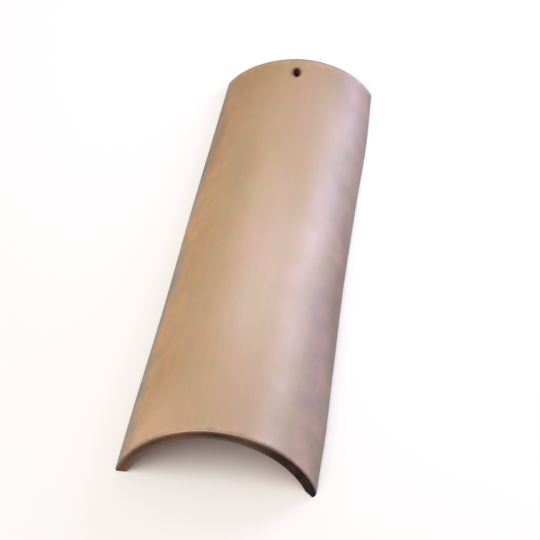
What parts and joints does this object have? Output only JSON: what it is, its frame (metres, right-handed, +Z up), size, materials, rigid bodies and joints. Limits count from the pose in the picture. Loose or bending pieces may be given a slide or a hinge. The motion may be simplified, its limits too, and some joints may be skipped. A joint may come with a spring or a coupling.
{
  "type": "clay roof tile",
  "caption": "Tapered barrel roof tile of fired clay, arched upward, with a nail hole through the ridge near its narrow head.",
  "frame": {"origin": "on the floor, under the middle of the tile", "axes": "+X across the tile, +Y along it from the wide butt to the narrow head, +Z up through the ridge"},
  "size_m": [0.17, 0.457, 0.061],
  "materials": {
    "clay": "matte"
  },
  "bodies": {
    "root": {"tile": "clay"}
  },
  "joints": []
}
